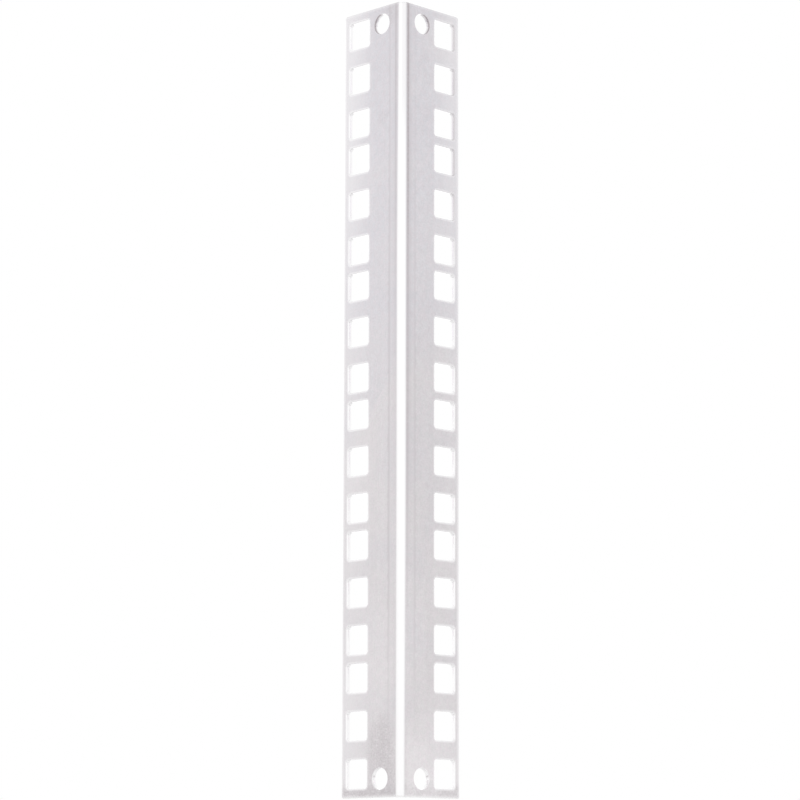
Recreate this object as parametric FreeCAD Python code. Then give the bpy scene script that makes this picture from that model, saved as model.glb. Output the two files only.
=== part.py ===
"""Rack mounting rail: a punched strip of sheet steel, folded once to a right angle.

Millimetres. +Z runs up the rail. The front flange faces -Y and carries the equipment. The side flange
faces -X and is screwed to the case. The origin lies on the side flange's outer face, midway between its
two screw holes.
"""
import FreeCAD
import Part
import os

# Sheet and fold
sheet_thickness = 1.5
inside_bend_radius = 1.5

# Rack spacing: the holes of one unit are evenly spaced, and closer together across the border of two units
rack_units = 6
unit_height = 44.45
holes_per_unit = 3
spacing_across_border = 12.7

# Square holes for cage nuts
square_hole_size = 9.5
square_hole_corner_radius = 1.0
square_hole_line_from_corner = 20.75
strip_outside_square_holes = 2.5
strip_beyond_square_holes = 3.25

# Round screw holes near both ends, between the fold and the square holes
screw_hole_diameter = 7.0
screw_line_from_corner = 9.75
strip_beyond_screw_holes = 2.75

# Edges: the outside edges of the outline and of the holes are broken where shear and punch drew the steel in
flange_corner_radius = 1.0
edge_break = 0.3

# How far the punches stand clear of the sheet, and how closely two places must agree to be one
punch_clearance = 2.0
same_place = 0.01

# Sizes that follow
outside_bend_radius = inside_bend_radius + sheet_thickness
flange_width = square_hole_line_from_corner + square_hole_size / 2 + strip_outside_square_holes
hole_spacing = (unit_height - spacing_across_border) / (holes_per_unit - 1)
end_to_first_hole = strip_beyond_square_holes + square_hole_size / 2
hole_row_length = rack_units * unit_height - spacing_across_border
rail_length = hole_row_length + 2 * end_to_first_hole
end_to_screw_hole = strip_beyond_screw_holes + screw_hole_diameter / 2
punch_length = sheet_thickness + 2 * punch_clearance

# The fold's outer corner, drawn sharp, runs up the Z axis until the finished rail is moved to its origin
CORNER = FreeCAD.Vector(0, 0, 0)
TO_FRONT = FreeCAD.Vector(0, -1, 0)
TO_SIDE = FreeCAD.Vector(-1, 0, 0)
UP_THE_RAIL = FreeCAD.Vector(0, 0, 1)
ACROSS_THE_FOLD = FreeCAD.Vector(1, -1, 0)


def line(start, end):
    """A straight edge."""
    return Part.LineSegment(start, end).toShape()


def quarter_arc(centre, radius, start_direction, end_direction):
    """The quarter circle about centre that runs from one direction to the other."""
    middle_direction = (start_direction + end_direction).normalize()
    directions = (start_direction, middle_direction, end_direction)
    return Part.Arc(*[centre + direction * radius for direction in directions]).toShape()


def angle_section():
    """The folded sheet's cross-section at the bottom end: two flanges joined by the bend."""
    bend_centre = FreeCAD.Vector(outside_bend_radius, outside_bend_radius, 0)
    outer_bend = quarter_arc(bend_centre, outside_bend_radius, TO_FRONT, TO_SIDE)
    inner_bend = quarter_arc(bend_centre, inside_bend_radius, TO_SIDE, TO_FRONT)
    front_tip_outside = FreeCAD.Vector(flange_width, 0, 0)
    front_tip_inside = FreeCAD.Vector(flange_width, sheet_thickness, 0)
    side_tip_outside = FreeCAD.Vector(0, flange_width, 0)
    side_tip_inside = FreeCAD.Vector(sheet_thickness, flange_width, 0)
    edges = [
        line(front_tip_outside, outer_bend.firstVertex().Point),
        outer_bend,
        line(outer_bend.lastVertex().Point, side_tip_outside),
        line(side_tip_outside, side_tip_inside),
        line(side_tip_inside, inner_bend.firstVertex().Point),
        inner_bend,
        line(inner_bend.lastVertex().Point, front_tip_inside),
        line(front_tip_inside, front_tip_outside),
    ]
    return Part.Face(Part.Wire(edges))


def is_flange_corner(edge):
    """Whether an edge crosses the sheet at a free corner of a flange."""
    box = edge.BoundBox
    at_flange_tip = flange_width - max(box.XMin, box.YMin) < same_place
    at_rail_end = box.ZLength < same_place
    return at_flange_tip and at_rail_end


def folded_strip():
    """The folded strip before punching, with its four free corners rounded."""
    strip = angle_section().extrude(UP_THE_RAIL * rail_length)
    corners = [edge for edge in strip.Edges if is_flange_corner(edge)]
    return strip.makeFillet(flange_corner_radius, corners)


def square_punch(height):
    """The tool of one square hole in the front flange, centred at a height above the rail's bottom end."""
    half = square_hole_size / 2
    place = FreeCAD.Vector(square_hole_line_from_corner - half, -punch_clearance, height - half)
    block = Part.makeBox(square_hole_size, punch_length, square_hole_size, place)
    corners = [edge for edge in block.Edges if edge.BoundBox.YLength > sheet_thickness]
    return block.makeFillet(square_hole_corner_radius, corners)


def screw_punch(height):
    """The tool of one round screw hole in the front flange."""
    place = FreeCAD.Vector(screw_line_from_corner, -punch_clearance, height)
    return Part.makeCylinder(screw_hole_diameter / 2, punch_length, place, -TO_FRONT)


def square_hole_heights():
    """Heights of the square holes above the rail's bottom end, unit by unit."""
    return [
        end_to_first_hole + unit * unit_height + hole * hole_spacing
        for unit in range(rack_units)
        for hole in range(holes_per_unit)
    ]


def front_punches():
    """All tools that punch the front flange."""
    squares = [square_punch(height) for height in square_hole_heights()]
    rounds = [screw_punch(height) for height in (end_to_screw_hole, rail_length - end_to_screw_hole)]
    return squares + rounds


def is_outer_skin(face):
    """Whether a face is the outside of a flange or of the bend."""
    along_rail = face.BoundBox.ZLength > rail_length / 2
    on_front = face.BoundBox.YMax < same_place
    on_side = face.BoundBox.XMax < same_place
    is_round = isinstance(face.Surface, Part.Cylinder)
    on_bend = is_round and abs(face.Surface.Radius - outside_bend_radius) < same_place
    return along_rail and (on_front or on_side or on_bend)


def break_edges(solid):
    """Bevels the rims of the outer skin: its outline and the mouth of every hole."""
    skin_edges = [edge for face in solid.Faces if is_outer_skin(face) for edge in face.Edges]
    rims = [edge for edge in skin_edges if sum(edge.isSame(other) for other in skin_edges) == 1]
    return solid.makeChamfer(edge_break, rims)


def mounting_rail():
    """The finished rail, with its origin at the side flange's screw holes."""
    punches = front_punches()
    punches += [punch.mirror(CORNER, ACROSS_THE_FOLD) for punch in punches]
    punched = folded_strip().cut(punches)
    rail = break_edges(punched.Solids[0])
    rail.translate(FreeCAD.Vector(0, -screw_line_from_corner, -rail_length / 2))
    return rail


os.makedirs("parts", exist_ok=True)
mounting_rail().exportStep("parts/mounting_rail.step")
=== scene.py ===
"""Dresses the rack mounting rail: its punched and folded sheet in detail, its finish, studio and camera.

Metres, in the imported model's frame: +Z runs up the rail, the front flange faces -Y and the side flange -X.
"""
import math
from functools import partial

import bmesh
import bpy
from mathutils import Matrix, Vector
from mathutils.geometry import delaunay_2d_cdt


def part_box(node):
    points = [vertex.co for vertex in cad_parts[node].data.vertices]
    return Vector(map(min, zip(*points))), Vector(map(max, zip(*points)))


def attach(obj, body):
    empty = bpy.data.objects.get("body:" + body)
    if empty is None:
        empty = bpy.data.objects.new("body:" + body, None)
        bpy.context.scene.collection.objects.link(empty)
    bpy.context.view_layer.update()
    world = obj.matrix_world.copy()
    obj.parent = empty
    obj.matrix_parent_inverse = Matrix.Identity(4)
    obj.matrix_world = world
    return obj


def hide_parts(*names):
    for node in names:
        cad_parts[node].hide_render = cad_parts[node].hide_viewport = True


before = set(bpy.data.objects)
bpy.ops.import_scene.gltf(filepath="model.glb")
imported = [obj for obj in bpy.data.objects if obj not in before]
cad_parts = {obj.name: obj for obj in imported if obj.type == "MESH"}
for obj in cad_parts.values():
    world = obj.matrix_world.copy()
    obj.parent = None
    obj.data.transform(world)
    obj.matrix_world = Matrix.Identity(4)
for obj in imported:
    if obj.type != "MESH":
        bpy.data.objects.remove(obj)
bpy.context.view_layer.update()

low_corner, high_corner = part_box("mounting_rail")

MM = 0.001

# Sheet and fold
sheet_thickness = 1.5 * MM
inside_bend_radius = 1.5 * MM
outside_bend_radius = inside_bend_radius + sheet_thickness
flange_width = high_corner.x - low_corner.x
rail_length = high_corner.z - low_corner.z
flange_corner_radius = 1.0 * MM
smallest_corner_radius = 0.02 * MM

# Holes, on the rack spacing
rack_units = 6
unit_height = 44.45 * MM
holes_per_unit = 3
hole_spacing = 15.875 * MM
end_to_first_hole = 8.0 * MM
square_hole_size = 9.5 * MM
square_hole_corner_radius = 1.0 * MM
square_hole_line_from_corner = 20.75 * MM
screw_hole_diameter = 7.0 * MM
screw_line_from_corner = 9.75 * MM
end_to_screw_hole = 6.25 * MM

# A punched edge: the skin rolls over, then comes a smooth band, a sloping torn band and a small burr.
# For each kind of edge: width of the roll, width of the worn margin beside it, and painted shade on the roll
outline_edge = (0.8 * MM, 0.5 * MM, 0.0)
front_square_hole_edge = (0.6 * MM, 0.3 * MM, 0.5)
side_square_hole_edge = (0.6 * MM, 0.3 * MM, 0.0)
screw_hole_edge = (0.25 * MM, 0.1 * MM, 1.0)
roll_depth = 0.3 * MM
lip_depth = 0.8 * MM
smooth_band_start = 0.9 * MM
smooth_band_depth = 1.05 * MM
torn_slope = 0.05 * MM
burr = 0.04 * MM

# Wear and painted highlight where the roll starts, 0 for plating and 1 for bright metal, and the share of
# painted shade left below it
margin_wear_and_highlight = 0.2
lip_fade = 0.3

# Mesh steps, and the angle in degrees from which an edge is sharp
roll_steps = 6
corner_steps = 8
circle_steps = 48
bend_steps = 24
sharp_angle = 35

# Filling a flange: how near two points are one, and the choice of triangles that lie inside the given edges
fill_tolerance = 0.0001 * MM
INSIDE_EDGES = 1

# The strip laid flat: s runs across it from the middle of the bend, with these signs on the two flanges
FRONT = 1
SIDE = -1
half_bend = outside_bend_radius * math.pi / 4
half_strip = half_bend + flange_width - outside_bend_radius
bend_stations = [half_bend * (2 * step / bend_steps - 1) for step in range(bend_steps + 1)]

# The axes, X and Y, along which the flanges reach out from the fold
FRONT_AXIS = 0
SIDE_AXIS = 1


def across(distance_from_corner):
    """The place across the flat strip of a line at some distance from the fold's sharp corner."""
    return half_bend + distance_from_corner - outside_bend_radius


def folded(s, z, depth):
    """The point of the folded sheet for a place on the flat strip and a depth under its outer skin."""
    if abs(s) > half_bend:
        reach = outside_bend_radius + abs(s) - half_bend
        x, y = (reach, depth) if s > 0 else (depth, reach)
    else:
        turn = math.pi / 4 + s / outside_bend_radius
        radius = outside_bend_radius - depth
        x = outside_bend_radius - radius * math.cos(turn)
        y = outside_bend_radius - radius * math.sin(turn)
    return low_corner + Vector((x, y, z))


def rounded_rectangle(s_range, z_range, radius, stations=()):
    """Loop of a rounded rectangle: bottom stations, two right corners, top stations, two left corners."""
    s_low, s_high = s_range[0] + radius, s_range[1] - radius
    z_low, z_high = z_range[0] + radius, z_range[1] - radius
    centres = ((s_high, z_low), (s_high, z_high), (s_low, z_high), (s_low, z_low))
    corners = []
    for quarter, (s, z) in enumerate(centres):
        for step in range(corner_steps + 1):
            turn = math.pi / 2 * (quarter - 1 + step / corner_steps)
            corners.append((s + radius * math.cos(turn), z + radius * math.sin(turn)))
    half = len(corners) // 2
    bottom = [(s, z_range[0]) for s in stations]
    top = [(s, z_range[1]) for s in reversed(stations)]
    return bottom + corners[:half] + top + corners[half:]


def outline(inset):
    """The flat strip's outline, drawn in by an inset."""
    s_range = (inset - half_strip, half_strip - inset)
    radius = max(flange_corner_radius - inset, smallest_corner_radius)
    return rounded_rectangle(s_range, (inset, rail_length - inset), radius, bend_stations)


def square_hole(s, z, inset):
    """The outline of a square hole, widened by an inset into the sheet."""
    half = square_hole_size / 2 + inset
    return rounded_rectangle((s - half, s + half), (z - half, z + half), square_hole_corner_radius + inset)


def screw_hole(s, z, inset):
    """The outline of a round hole, widened by an inset into the sheet."""
    radius = screw_hole_diameter / 2 + inset
    turns = [2 * math.pi * step / circle_steps for step in range(circle_steps)]
    return [(s + radius * math.cos(turn), z + radius * math.sin(turn)) for turn in turns]


def edge_profile(roll_width, margin, lip_shade):
    """Steps down a punched edge: inset into the sheet, depth, wear and painted highlight to bright metal,
    and painted shade.
    """
    steps = [(roll_width + margin, 0, 0, 0)]
    for step in range(roll_steps + 1):
        turn = math.pi / 2 * step / roll_steps
        inset, depth = roll_width * (1 - math.sin(turn)), roll_depth * (1 - math.cos(turn))
        steps.append((inset, depth, margin_wear_and_highlight + (1 - margin_wear_and_highlight) * math.sin(turn), lip_shade))
    steps.append((0, lip_depth, 1, lip_shade * lip_fade))
    steps.append((0, smooth_band_start, 1, 0))
    steps.append((0, smooth_band_depth, 1, 0))
    steps.append((torn_slope, sheet_thickness - burr, 1, 0))
    steps.append((torn_slope + burr, sheet_thickness, 0, 0))
    return steps


def cut_edge(mesh, loop_at, edge):
    """Builds one punched edge round a loop and returns its rings on the outer and the inner skin."""
    wear_and_highlight_layer = mesh.verts.layers.float["edge_wear_and_highlight"]
    shade_layer = mesh.verts.layers.float["edge_painted_shade"]
    rings = []
    for inset, depth, wear_and_highlight, lip_shade in edge_profile(*edge):
        ring = [mesh.verts.new(folded(s, z, depth)) for s, z in loop_at(inset)]
        for vertex in ring:
            vertex[wear_and_highlight_layer] = wear_and_highlight
            vertex[shade_layer] = lip_shade
        rings.append(ring)
    for ring, below in zip(rings, rings[1:]):
        for corner in range(len(ring)):
            mesh.faces.new((ring[corner - 1], ring[corner], below[corner], below[corner - 1]))
    return rings[0], rings[-1]


def fill_flange(mesh, rings, axis):
    """Fills a flange's skin with triangles inside its first ring, the border, and round the holes' rings."""
    vertices = [vertex for ring in rings for vertex in ring]
    ring_numbers = [number for number, ring in enumerate(rings) for vertex in ring]
    places = [Vector((vertex.co[axis], vertex.co.z)) for vertex in vertices]
    edges = []
    for ring in rings:
        first = len(edges)
        edges += [(first + corner, first + (corner + 1) % len(ring)) for corner in range(len(ring))]
    triangles, sources = delaunay_2d_cdt(places, edges, [], INSIDE_EDGES, fill_tolerance)[2:4]
    for triangle in triangles:
        corners = [sources[corner][0] for corner in triangle]
        touched = {ring_numbers[corner] for corner in corners}
        # A triangle with all its corners on one hole's ring lies in that hole and is left out
        if touched == {0} or len(touched) > 1:
            mesh.faces.new([vertices[corner] for corner in corners])


def fill_skin(mesh, border, front_holes, side_holes):
    """Fills one skin of the sheet: strips round the bend, and both flanges with their holes left open."""
    count = len(bend_stations)
    top_start = count + 2 * (corner_steps + 1)
    bottom = border[:count]
    top = border[top_start:top_start + count][::-1]
    for station in range(count - 1):
        mesh.faces.new((bottom[station], bottom[station + 1], top[station + 1], top[station]))
    fill_flange(mesh, [border[count - 1:top_start + 1]] + front_holes, FRONT_AXIS)
    fill_flange(mesh, [border[top_start + count - 1:] + border[:1]] + side_holes, SIDE_AXIS)


def flange_holes(flange):
    """The outline functions and edges of all holes in one flange, FRONT or SIDE."""
    square_line = flange * across(square_hole_line_from_corner)
    screw_line = flange * across(screw_line_from_corner)
    heights = [
        end_to_first_hole + unit * unit_height + hole * hole_spacing
        for unit in range(rack_units)
        for hole in range(holes_per_unit)
    ]
    square_edge = front_square_hole_edge if flange == FRONT else side_square_hole_edge
    squares = [(partial(square_hole, square_line, z), square_edge) for z in heights]
    ends = (end_to_screw_hole, rail_length - end_to_screw_hole)
    rounds = [(partial(screw_hole, screw_line, z), screw_hole_edge) for z in ends]
    return squares + rounds


def rail_sheet():
    """The whole rail as one closed mesh, with its punched edges rolled over."""
    mesh = bmesh.new()
    mesh.verts.layers.float.new("edge_wear_and_highlight")
    mesh.verts.layers.float.new("edge_painted_shade")
    outer_border, inner_border = cut_edge(mesh, outline, outline_edge)
    front = [cut_edge(mesh, loop_at, edge) for loop_at, edge in flange_holes(FRONT)]
    side = [cut_edge(mesh, loop_at, edge) for loop_at, edge in flange_holes(SIDE)]
    fill_skin(mesh, outer_border, [outer for outer, inner in front], [outer for outer, inner in side])
    fill_skin(mesh, inner_border, [inner for outer, inner in front], [inner for outer, inner in side])
    bmesh.ops.recalc_face_normals(mesh, faces=mesh.faces)
    data = bpy.data.meshes.new("rail_sheet")
    mesh.to_mesh(data)
    mesh.free()
    data.shade_smooth()
    data.set_sharp_from_angle(angle=math.radians(sharp_angle))
    piece = bpy.data.objects.new("rail_sheet", data)
    bpy.context.scene.collection.objects.link(piece)
    normals = piece.modifiers.new("flat_skins", "WEIGHTED_NORMAL")
    normals.keep_sharp = True
    return piece


# Most noise lies between these values
NOISE_LOW = 0.2
NOISE_HIGH = 0.8

# The colour sockets of a mix node
FIRST_COLOUR = 6
SECOND_COLOUR = 7
MIXED_COLOUR = 2


def node(tree, kind, inputs=None, **settings):
    """Adds a shader node; inputs gives each named socket a value or another node's output."""
    made = tree.nodes.new(kind)
    for name, value in settings.items():
        setattr(made, name, value)
    for socket, value in (inputs or {}).items():
        if isinstance(value, bpy.types.NodeSocket):
            tree.links.new(value, made.inputs[socket])
        else:
            made.inputs[socket].default_value = value
    return made


def combined(tree, operation, *values):
    """The result of a math operation carried along several values."""
    result = values[0]
    for value in values[1:] or (0.0,):
        result = node(tree, "ShaderNodeMath", {0: result, 1: value}, operation=operation).outputs[0]
    return result


def total(tree, *values):
    """Several values added up."""
    return combined(tree, "ADD", *values)


def product(tree, *values):
    """Several values multiplied together."""
    return combined(tree, "MULTIPLY", *values)


def difference(tree, first, second):
    """The first value less the second."""
    return combined(tree, "SUBTRACT", first, second)


def ramp(tree, value, start, end, low=0.0, high=1.0):
    """A value eased from low to high as another goes from start to end."""
    inputs = {"Value": value, "From Min": start, "From Max": end, "To Min": low, "To Max": high}
    return node(tree, "ShaderNodeMapRange", inputs, interpolation_type="SMOOTHSTEP").outputs[0]


def swing(tree, value, amount):
    """A noise value turned into a swing of some amount to both sides of 0."""
    inputs = {
        "Value": value, "From Min": NOISE_LOW, "From Max": NOISE_HIGH, "To Min": -amount, "To Max": amount,
    }
    return node(tree, "ShaderNodeMapRange", inputs).outputs[0]


def noise(tree, place, size, detail=3.0, roughness=0.55, stretch=(1, 1, 1)):
    """Noise about 0.5 with features of some size, drawn out along the axes with a small stretch number."""
    scaled = node(tree, "ShaderNodeMapping", {"Vector": place, "Scale": stretch}).outputs[0]
    inputs = {"Vector": scaled, "Scale": 1 / size, "Detail": detail, "Roughness": roughness}
    return node(tree, "ShaderNodeTexNoise", inputs).outputs["Fac"]


def mixed(tree, factor, first, second):
    """Two colours mixed by a factor."""
    made = node(tree, "ShaderNodeMix", {"Factor": factor}, data_type="RGBA")
    for socket, value in ((FIRST_COLOUR, first), (SECOND_COLOUR, second)):
        if isinstance(value, bpy.types.NodeSocket):
            tree.links.new(value, made.inputs[socket])
        else:
            made.inputs[socket].default_value = (*value, 1)
    return made.outputs[MIXED_COLOUR]


# Zinc colours, with those that paint light, shade and highlight
COOL_ZINC = (0.700, 0.687, 0.722)
WARM_ZINC = (0.707, 0.687, 0.696)
ROSY_ZINC = (0.733, 0.673, 0.706)
DULL_ZINC_AND_SHADE = (0.470, 0.432, 0.450)
PAINTED_LIGHT_ZINC = (0.850, 0.835, 0.848)
BRIGHT_ZINC_AND_HIGHLIGHT = (0.950, 0.945, 0.950)

# The finish changes by eases. An ease is where it starts and ends, and the values there if not 0 and 1.
# Heights are above the rail's bottom end and reaches from the fold's sharp corner

# Faces turned to the fold or down, by the part of their normal that points away from the fold or up
turned_to_fold = (-0.02, -0.25)
turned_down = (-0.55, -0.95)

# Plating: its tone, how far each texture swings that, and its tint
mean_tone = 0.977
tone_swings = {"clouds": 0.03, "mottle": 0.08, "speckle": 0.05, "grain": 0.02, "streaks": 0.015}
warmth_by_height = (240 * MM, 60 * MM)
warmth_swing = 0.6
rosiness_by_blush = (0.35, 0.65, 0.0, 0.4)

# Painted light at the front flange's bottom end
foot_light_by_height = (40 * MM, 5 * MM, 0.0, 0.13)
foot_light_beside_bend = (1.5 * MM, 3.5 * MM)
foot_light_by_reach = (40 * MM, 14 * MM)

# Painted light towards the flanges' outer edges, and a painted highlight along the front flange's rim
painted_light_by_reach = (12 * MM, 28 * MM)
front_painted_light_by_height = (120 * MM, 250 * MM, 0.1, 0.45)
side_painted_light_by_height = (130 * MM, 250 * MM, 0.28, 0.7)
side_foot_painted_light_by_height = (60 * MM, 30 * MM, 0.0, 0.2)
rim_highlight_by_reach = (26 * MM, 27.5 * MM)
rim_highlight_by_height = (130 * MM, 70 * MM, 0.35, 0.8)

# Painted shade beside the bend's highlight: a dark line, as reach and half width, with its strength by
# height, and a broader shade.
# Shoulder lines of the folding tool, alike. The front bend line's two strengths add up, and those of a
# shoulder line multiply
bend_shade_line = (3.0 * MM, 0.7 * MM)
front_bend_shade_line_below = (30 * MM, 120 * MM, 0.0, 0.27)
front_bend_shade_line_above = (150 * MM, 270 * MM, 0.0, 0.6)
side_bend_shade_line_by_height = (120 * MM, 270 * MM, 0.0, 0.4)
front_shoulder_line = (6.4 * MM, 0.9 * MM)
front_shoulder_below = (10 * MM, 60 * MM, 0.0, 0.2)
front_shoulder_above = (250 * MM, 150 * MM, 0.3, 1.0)
side_shoulder_line = (5.9 * MM, 0.9 * MM)
side_shoulder_below = (20 * MM, 80 * MM, 0.3, 1.0)
side_shoulder_above = (260 * MM, 140 * MM, 0.2, 0.33)
shoulder_wander = 0.5 * MM
shade_by_reach = (5.6 * MM, 3.3 * MM)
shade_by_height = (70 * MM, 140 * MM)
front_shade = 0.25
side_shade = 0.12
line_strength_by_speckle = (0.25, 0.75, 0.7, 1.3)

# Painted highlight on the fold, out to an edge on each flange that is a reach eased by height, and its
# dimming at the front's top
front_highlight_edge = (0 * MM, 120 * MM, 1.9 * MM, 2.18 * MM)
side_highlight_edge = (275 * MM, 170 * MM, 1.9 * MM, 2.33 * MM)
highlight_past_edge = (0.35 * MM, -0.35 * MM)
front_fold_highlight_dimming_by_height = (220 * MM, 240 * MM, 0.0, 0.2)

# Darker patches: a broken texture, and a hem along the bottom end
patch_by_mottle = (0.65, 0.35, 0.55, 1.0)
patch_speckle_swing = -0.6
hem_by_height = (6 * MM, 1.5 * MM)
front_hem = 0.2
side_hem = 0.55

# Punched edges: painted shade at the top of the front flange, on lips near the top and on ceilings, and
# duller at the top end
front_edge_shade_by_height = (170 * MM, 220 * MM, 0.0, 0.4)
end_brightness_by_height = (267.5 * MM, 269 * MM, 1.0, 0.5)
lip_shade_by_height = (170 * MM, 215 * MM)
ceiling_shade = 0.25

# Roughness and relief of the plating, and of punched edges, which have less of both
plating_roughness = 0.40
roughness_swings = {"mottle": 0.08, "grain": 0.04}
edge_roughness = 0.14
mottle_relief = 0.8
plating_relief = 0.15
edge_relief = 0.03
relief_depth = 0.03 * MM

# Darker patches: flange, reach, height, half width, half height (all four in millimetres) and strength
dark_patch_spots = (
    ("on_side", 9.0, 14.0, 8.0, 17.0, 0.4),
    ("on_side", 4.5, 4.0, 3.5, 14.0, 0.35),
    ("on_side", 9.0, 231.0, 3.5, 3.5, 0.12),
    ("on_side", 5.0, 268.0, 6.0, 7.0, 0.25),
    ("on_front", 11.6, 252.0, 2.2, 2.2, 0.14),
    ("on_front", 24.0, 1.0, 11.0, 5.5, 0.35),
)

# Broad spots of lighter and darker plating, laid down alike, with their change of tone
tone_spots = (
    ("on_side", 12.0, 44.0, 11.0, 27.0, 0.04),
    ("on_front", 6.0, 53.0, 8.0, 27.0, 0.04),
    ("on_front", 13.0, 130.0, 16.0, 60.0, -0.022),
)


def by_flange(tree, at, front, side):
    """One value on the front flange and another on the side flange."""
    return total(tree, product(tree, front, at["on_front"]), product(tree, side, at["on_side"]))


def sheet_places(tree):
    """What the finish follows: places on the sheet, its flanges, turned faces and punched edges."""
    place = node(tree, "ShaderNodeTexCoord").outputs["Object"]
    axes = node(tree, "ShaderNodeSeparateXYZ", {0: place}).outputs
    to_front = difference(tree, axes["X"], low_corner.x)
    to_side = difference(tree, axes["Y"], low_corner.y)
    at = {
        "place": place,
        "reach": combined(tree, "MAXIMUM", to_front, to_side),
        "height": difference(tree, axes["Z"], low_corner.z),
        "on_front": combined(tree, "GREATER_THAN", to_front, to_side),
        "on_side": combined(tree, "GREATER_THAN", to_side, to_front),
        "rubbed_and_highlit": node(tree, "ShaderNodeAttribute", attribute_name="edge_wear_and_highlight").outputs["Fac"],
        "shaded_lip": node(tree, "ShaderNodeAttribute", attribute_name="edge_painted_shade").outputs["Fac"],
    }
    normal = node(tree, "ShaderNodeNewGeometry").outputs["Normal"]
    facing = node(tree, "ShaderNodeSeparateXYZ", {0: normal}).outputs
    from_fold = by_flange(tree, at, facing["X"], facing["Y"])
    at["facing_fold"] = ramp(tree, from_fold, *turned_to_fold)
    at["facing_down"] = ramp(tree, facing["Z"], *turned_down)
    return at


def plating_textures(tree, place):
    """The noises of the plating, from broad clouds to fine grain along the rail."""
    along_rail = (1, 1, 0.03)
    return {
        "clouds": noise(tree, place, 22 * MM, detail=2.0),
        "mottle": noise(tree, place, 2.5 * MM, detail=5.0, roughness=0.75),
        "blush": noise(tree, place, 1.7 * MM, detail=2.0),
        "speckle": noise(tree, place, 0.6 * MM, detail=1.0),
        "grain": noise(tree, place, 0.35 * MM, detail=2.0, stretch=along_rail),
        "streaks": noise(tree, place, 3 * MM, stretch=along_rail),
    }


def spot_mask(tree, at, reach, height, half_width, half_height):
    """1 in the middle of a spot, falling to 0 at its half width and half height."""
    sideways = combined(tree, "DIVIDE", difference(tree, at["reach"], reach), half_width)
    upwards = combined(tree, "DIVIDE", difference(tree, at["height"], height), half_height)
    squares = [product(tree, offset, offset) for offset in (sideways, upwards)]
    return ramp(tree, total(tree, *squares), 1.0, 0.0)


def spots(tree, at, table):
    """The strength of every spot in a table, each on its own flange."""
    strengths = []
    for flange, reach, height, half_width, half_height, strength in table:
        mask = spot_mask(tree, at, reach * MM, height * MM, half_width * MM, half_height * MM)
        strengths.append(product(tree, mask, at[flange], strength))
    return strengths


def painted_foot_light_and_tone_spots(tree, at):
    """How much lighter the plating is: painted light at the front flange's bottom end, and broad spots of
    its own tone.
    """
    # Painted light at the front flange's bottom end
    front_foot_light = product(
        tree, ramp(tree, at["height"], *foot_light_by_height), at["on_front"],
        ramp(tree, at["reach"], *foot_light_beside_bend), ramp(tree, at["reach"], *foot_light_by_reach),
    )
    return total(tree, front_foot_light, *spots(tree, at, tone_spots))


def plating(tree, at, texture):
    """Plain plating: cooler at the top and warmer at the bottom, with a mottled tone and blush, and painted
    light at the front flange's bottom end.
    """
    clouded = swing(tree, texture["clouds"], warmth_swing)
    warmth = total(tree, ramp(tree, at["height"], *warmth_by_height), clouded)
    colour = mixed(tree, warmth, COOL_ZINC, WARM_ZINC)
    colour = mixed(tree, ramp(tree, texture["blush"], *rosiness_by_blush), colour, ROSY_ZINC)
    swings = [swing(tree, texture[name], amount) for name, amount in tone_swings.items()]
    tone = total(tree, mean_tone, painted_foot_light_and_tone_spots(tree, at), *swings)
    return node(tree, "ShaderNodeVectorMath", {0: colour, "Scale": tone}, operation="SCALE").outputs[0]


def painted_light_zones(tree, at):
    """Painted light, paler towards the outer edges and more so at the top, and a painted highlight along the
    front flange's rim.
    """
    height, reach = at["height"], at["reach"]
    on_front = ramp(tree, height, *front_painted_light_by_height)
    on_side = total(
        tree, ramp(tree, height, *side_painted_light_by_height), ramp(tree, height, *side_foot_painted_light_by_height)
    )
    to_edge = product(tree, ramp(tree, reach, *painted_light_by_reach), by_flange(tree, at, on_front, on_side))
    # Painted highlight along the front flange's rim
    front_rim_highlight = product(
        tree, ramp(tree, reach, *rim_highlight_by_reach), at["on_front"], ramp(tree, height, *rim_highlight_by_height)
    )
    return total(tree, to_edge, front_rim_highlight)


def line_mask(tree, reach, place, half_width):
    """1 on a line at some reach, falling to 0 at its half width."""
    offset = combined(tree, "ABSOLUTE", difference(tree, reach, place))
    return ramp(tree, offset, half_width, 0.0)


def fold_shade_and_marks(tree, at, texture):
    """Painted shade beside the bend's highlight, as a dark line and a broader shade, and broken lines that
    the folding tool left at its shoulder on both flanges.
    """
    height = at["height"]
    shade = product(
        tree, ramp(tree, at["reach"], *shade_by_reach), ramp(tree, height, *shade_by_height),
        by_flange(tree, at, front_shade, side_shade),
    )
    front_strength = total(
        tree, ramp(tree, height, *front_bend_shade_line_below), ramp(tree, height, *front_bend_shade_line_above)
    )
    side_strength = ramp(tree, height, *side_bend_shade_line_by_height)
    # Painted shade line along the bend's highlight
    shade_line_beside_bend = product(
        tree, line_mask(tree, at["reach"], *bend_shade_line), by_flange(tree, at, front_strength, side_strength)
    )
    reach = total(tree, at["reach"], swing(tree, texture["mottle"], shoulder_wander))
    front_shoulder = product(
        tree, line_mask(tree, reach, *front_shoulder_line),
        ramp(tree, height, *front_shoulder_below), ramp(tree, height, *front_shoulder_above),
    )
    side_shoulder = product(
        tree, line_mask(tree, reach, *side_shoulder_line),
        ramp(tree, height, *side_shoulder_below), ramp(tree, height, *side_shoulder_above),
    )
    shade_and_lines = total(tree, shade, shade_line_beside_bend, by_flange(tree, at, front_shoulder, side_shoulder))
    return product(tree, shade_and_lines, ramp(tree, texture["speckle"], *line_strength_by_speckle))


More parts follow.
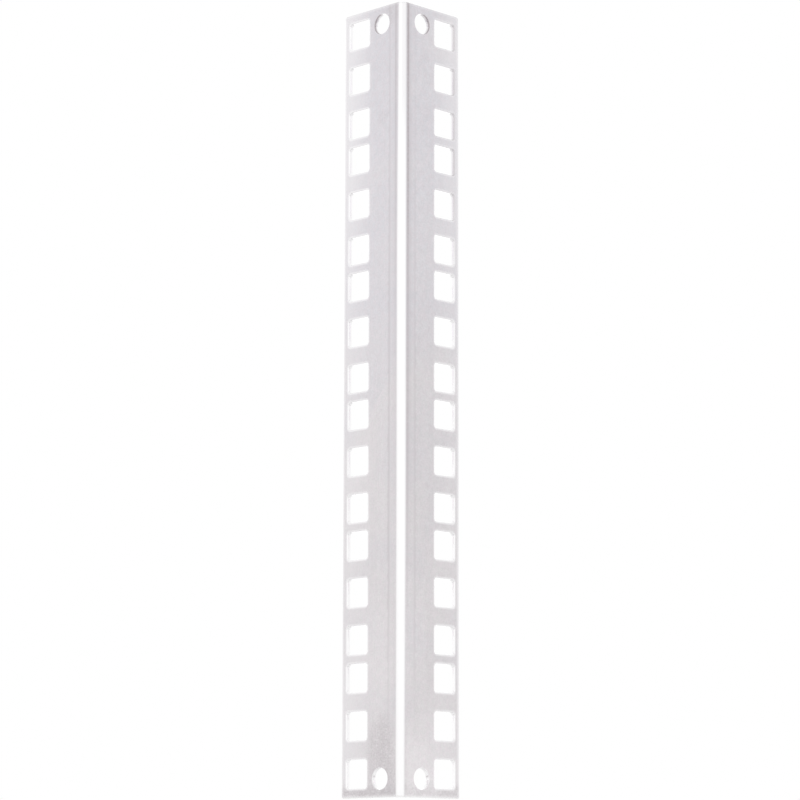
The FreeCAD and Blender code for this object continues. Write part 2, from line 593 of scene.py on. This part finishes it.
def painted_fold_highlight(tree, at):
    """1 on the corner of the fold, where a highlight is painted, 0 on the flanges; uneven along the rail and
    dimmed at the front's top.
    """
    height = at["height"]
    edge = by_flange(tree, at, ramp(tree, height, *front_highlight_edge), ramp(tree, height, *side_highlight_edge))
    highlight = ramp(tree, difference(tree, at["reach"], edge), *highlight_past_edge)
    # Painted highlight dimmed at the top of the front fold
    shaded_top = product(tree, at["on_front"], ramp(tree, height, *front_fold_highlight_dimming_by_height))
    return product(tree, highlight, difference(tree, 1.0, shaded_top))


def dark_patches(tree, at, texture):
    """Darker patches of a broken texture, and a dull hem along the bottom end."""
    patches = total(
        tree, ramp(tree, texture["mottle"], *patch_by_mottle),
        swing(tree, texture["speckle"], patch_speckle_swing),
    )
    hem = product(tree, ramp(tree, at["height"], *hem_by_height), by_flange(tree, at, front_hem, side_hem))
    return product(tree, combined(tree, "MAXIMUM", hem, *spots(tree, at, dark_patch_spots)), patches)


def zinc_colour(tree, at, texture):
    """Plating with painted light towards its outer edges, painted shade and tool marks by the bend, and
    darker patches; a painted highlight on the fold, bright metal with a painted highlight on punched edges,
    and painted shade on lips and ceilings.
    """
    height = at["height"]
    # Painted light towards the outer edges, and a painted highlight on the front rim
    colour = mixed(tree, painted_light_zones(tree, at), plating(tree, at, texture), PAINTED_LIGHT_ZINC)
    # Painted shade beside the bend, with shoulder lines of the folding tool
    colour = mixed(tree, fold_shade_and_marks(tree, at, texture), colour, DULL_ZINC_AND_SHADE)
    colour = mixed(tree, dark_patches(tree, at, texture), colour, DULL_ZINC_AND_SHADE)
    # Painted shade: the punched edges' brightness dimmed at the top of the front flange
    shaded_top = product(tree, at["on_front"], ramp(tree, height, *front_edge_shade_by_height))
    edges = product(
        tree, at["rubbed_and_highlit"], difference(tree, 1.0, shaded_top), ramp(tree, height, *end_brightness_by_height)
    )
    # Bright metal on punched edges, partly a painted highlight, and a painted highlight on the fold
    colour = mixed(tree, combined(tree, "MAXIMUM", edges, painted_fold_highlight(tree, at)), colour, BRIGHT_ZINC_AND_HIGHLIGHT)
    # Painted shade on rolled lips turned to the fold near the top
    shaded_lip = product(
        tree, at["shaded_lip"], at["facing_fold"], ramp(tree, height, *lip_shade_by_height)
    )
    # Painted shade on punched faces that face down, the holes' ceilings
    shaded_ceiling = product(tree, at["facing_down"], at["rubbed_and_highlit"], ceiling_shade)
    return mixed(tree, combined(tree, "MAXIMUM", shaded_lip, shaded_ceiling), colour, DULL_ZINC_AND_SHADE)


def zinc():
    """Zinc plating on rolled steel: mottled crystals, rolling grain, tool marks and worn edges, with painted
    light, shade and highlights.
    """
    material = bpy.data.materials.new("zinc_plated_steel")
    material.use_nodes = True
    tree = material.node_tree
    shader = tree.nodes["Principled BSDF"]
    at = sheet_places(tree)
    texture = plating_textures(tree, at["place"])
    tree.links.new(zinc_colour(tree, at, texture), shader.inputs["Base Color"])
    swings = [swing(tree, texture[name], amount) for name, amount in roughness_swings.items()]
    roughness = ramp(tree, at["rubbed_and_highlit"], 0.0, 1.0, total(tree, plating_roughness, *swings), edge_roughness)
    tree.links.new(roughness, shader.inputs["Roughness"])
    relief = total(tree, texture["grain"], product(tree, texture["mottle"], mottle_relief))
    strength = ramp(tree, at["rubbed_and_highlit"], 0.0, 1.0, plating_relief, edge_relief)
    bump = node(tree, "ShaderNodeBump", {"Height": relief, "Strength": strength, "Distance": relief_depth})
    tree.links.new(bump.outputs["Normal"], shader.inputs["Normal"])
    shader.inputs["Metallic"].default_value = 1.0
    return material


# Photograph's camera: place from the fold's sharp bottom corner, turns in degrees, and focal length
camera_right = -2.4 * MM
camera_back = 945.7 * MM
camera_up = -29.8 * MM
camera_yaw = -0.117
camera_pitch = 9.672
camera_roll = -0.118
picture_width_px = 800
focal_length_px = 2874.1
sensor_width_mm = 36.0
nearest_seen = 10 * MM

# Axes seen from the photograph's side: right, away and up
RIGHT = Vector((1, -1, 0)).normalized()
AWAY = Vector((1, 1, 0)).normalized()
UP = Vector((0, 0, 1))
middle_height = UP * rail_length / 2

# Softboxes: direction from the rail's middle, distance, width and height, and radiance
softboxes = {
    "front_softbox": (UP * 0.2 - AWAY, 1.5, (3.0, 1.2), 0.12),
    "left_softbox": (UP * 0.25 - RIGHT, 1.2, (1.2, 1.1), 0.06),
    "back_softbox": (UP * 0.15 + AWAY, 1.2, (1.4, 1.0), 0.45),
}

# Light from all round
WORLD_WHITE = (1, 1, 1, 1)
world_strength = 1.0

# Floor: depth under the rail, distance from the origin to its sides, size and colours of its faint clouds
floor_drop = 0.25
floor_reach = 8.0
floor_cloud_size = 0.4
FLOOR_SHADE = (0.92, 0.92, 0.92)
FLOOR_LIGHT = (0.95, 0.95, 0.95)
floor_roughness = 0.8


def photograph_camera():
    """The camera at the photograph's place and angle."""
    data = bpy.data.cameras.new("photograph")
    data.sensor_fit = "HORIZONTAL"
    data.sensor_width = sensor_width_mm
    data.lens = focal_length_px / picture_width_px * sensor_width_mm
    data.clip_start = nearest_seen
    camera = bpy.data.objects.new("photograph", data)
    bpy.context.scene.collection.objects.link(camera)
    turns = (
        Matrix.Rotation(math.radians(camera_yaw), 3, "Z")
        @ Matrix.Rotation(math.radians(camera_pitch), 3, "X")
        @ Matrix.Rotation(math.radians(camera_roll), 3, "Y")
    )
    right, away, up = (Matrix((RIGHT, AWAY, UP)).transposed() @ turns).transposed()
    place = low_corner + RIGHT * camera_right - AWAY * camera_back + UP * camera_up
    camera.matrix_world = Matrix.Translation(place) @ Matrix((right, up, -away)).transposed().to_4x4()
    bpy.context.scene.camera = camera


def softbox(name, direction, distance, size, radiance, subjects):
    """A rectangular studio light that faces the rail's middle and lights the subjects alone."""
    data = bpy.data.lights.new(name, "AREA")
    data.shape = "RECTANGLE"
    data.size, data.size_y = size
    data.energy = radiance * math.pi * size[0] * size[1]
    light = bpy.data.objects.new(name, data)
    bpy.context.scene.collection.objects.link(light)
    light.location = low_corner + middle_height + direction.normalized() * distance
    light.rotation_euler = direction.to_track_quat("Z", "Y").to_euler()
    light.light_linking.receiver_collection = subjects


def studio_world():
    """Even white light from all round."""
    world = bpy.data.worlds.new("studio")
    bpy.context.scene.world = world
    world.use_nodes = True
    background = world.node_tree.nodes["Background"]
    background.inputs["Color"].default_value = WORLD_WHITE
    background.inputs["Strength"].default_value = world_strength


def floor():
    """A plain pale floor under the rail and below the camera."""
    data = bpy.data.meshes.new("floor")
    height = low_corner.z - floor_drop
    signs = ((-1, -1), (1, -1), (1, 1), (-1, 1))
    corners = [(x * floor_reach, y * floor_reach, height) for x, y in signs]
    data.from_pydata(corners, [], [(0, 1, 2, 3)])
    piece = bpy.data.objects.new("floor", data)
    bpy.context.scene.collection.objects.link(piece)
    material = bpy.data.materials.new("pale_floor")
    material.use_nodes = True
    tree = material.node_tree
    place = node(tree, "ShaderNodeTexCoord").outputs["Object"]
    clouds = noise(tree, place, floor_cloud_size)
    shader = tree.nodes["Principled BSDF"]
    tree.links.new(mixed(tree, clouds, FLOOR_SHADE, FLOOR_LIGHT), shader.inputs["Base Color"])
    shader.inputs["Roughness"].default_value = floor_roughness
    data.materials.append(material)


rail = rail_sheet()
rail.data.materials.append(zinc())
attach(rail, "root")
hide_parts("mounting_rail")

photograph_camera()
subjects = bpy.data.collections.new("softbox_subjects")
subjects.objects.link(rail)
for name, settings in softboxes.items():
    softbox(name, *settings, subjects)
studio_world()
floor()
bpy.context.scene.view_settings.view_transform = "Standard"
